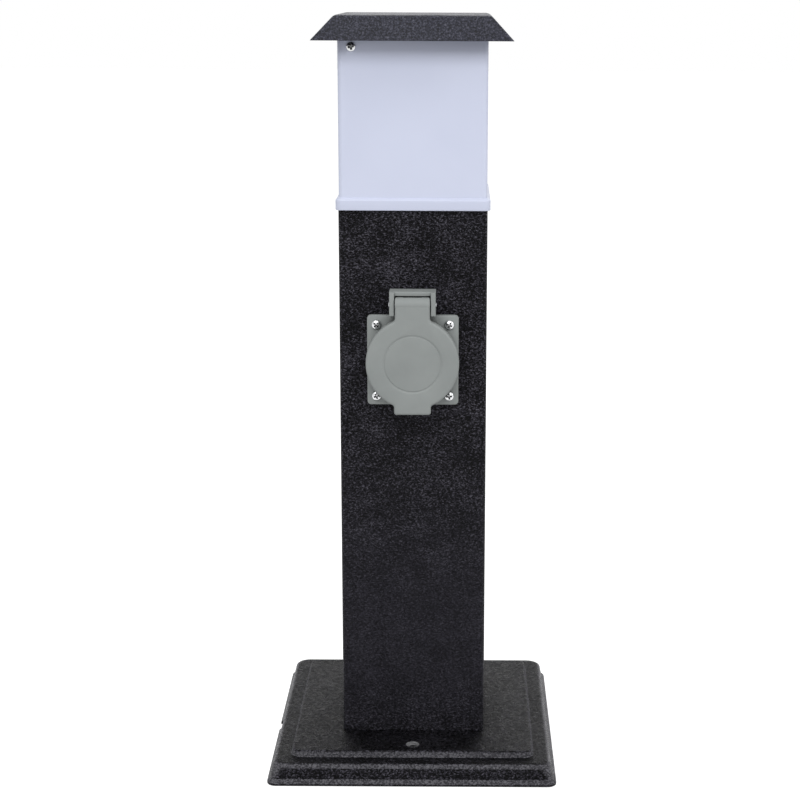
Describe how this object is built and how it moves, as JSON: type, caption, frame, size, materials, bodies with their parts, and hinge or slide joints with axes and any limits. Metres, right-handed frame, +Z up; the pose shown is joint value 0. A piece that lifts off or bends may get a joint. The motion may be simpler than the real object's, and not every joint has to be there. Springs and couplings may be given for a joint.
{
  "type": "garden socket post",
  "caption": "Garden socket post: coated square tube on a pressed base, a sprung-lid earthed socket in the front, an opal lamp head under a roof cap.",
  "frame": {"origin": "on the ground under the middle of the base", "axes": "+Z up along the tube; the socket's front faces -Y; +X to the right seen from the front"},
  "size_m": [0.16, 0.16, 0.416],
  "materials": {
    "black_coat": "wrinkle powder coat",
    "grey_coat": "fine texture coat",
    "grey_plastic": "satin",
    "opal": "satin, opal",
    "rubber": "matte",
    "zinc": "zinc plated",
    "bright_steel": "bright",
    "white_plastic": "satin",
    "brass": "plain",
    "pearl_glass": "pearl",
    "brown_wire": "satin",
    "blue_wire": "satin",
    "green_wire": "satin"
  },
  "bodies": {
    "post": {"base_plate": "black_coat", "cable_grommet": "rubber", "post_tube": "black_coat", "foot_angles": "zinc", "foot_nuts": "bright_steel", "base_screws": "bright_steel", "wiring_plate": "zinc", "terminal_block": "white_plastic", "terminal_inserts": "brass", "terminal_screws": "bright_steel", "block_screws": "bright_steel", "earth_screw": "bright_steel", "earth_lugs": "bright_steel", "socket_gasket": "rubber", "plug_well": "grey_plastic", "socket_frame": "grey_plastic", "flange_screws": "bright_steel", "contact_carrier": "white_plastic", "carrier_screw": "bright_steel", "live_contact": "brass", "neutral_contact": "brass", "earth_clip": "brass", "contact_screws": "bright_steel", "hinge_pin": "bright_steel", "hinge_spring": "bright_steel", "lamp_bracket": "zinc", "holder_nipple": "bright_steel", "nipple_nut": "bright_steel", "lamp_holder": "white_plastic", "thread_shell": "brass", "centre_contact": "brass", "bulb_base": "bright_steel", "bulb_globe": "pearl_glass", "shade_seal": "rubber", "shade": "opal", "shade_screws": "bright_steel", "roof_cap": "grey_coat", "cap_brackets": "zinc", "cap_screws": "bright_steel", "live_wires": "brown_wire", "neutral_wires": "blue_wire", "earth_wires": "green_wire"},
    "lid": {"socket_lid": "grey_plastic", "lid_gasket": "rubber"}
  },
  "joints": [
    {"name": "lid_hinge", "type": "hinge", "parent": "post", "child": "lid", "pos_m": [0, -0.0511, 0.2645], "axis": [-1, 0, 0], "range_deg": [0, 105], "stiffness_Nm_per_rad": 0.02, "springref_deg": -45.84, "deforming": ["hinge_spring"]}
  ]
}
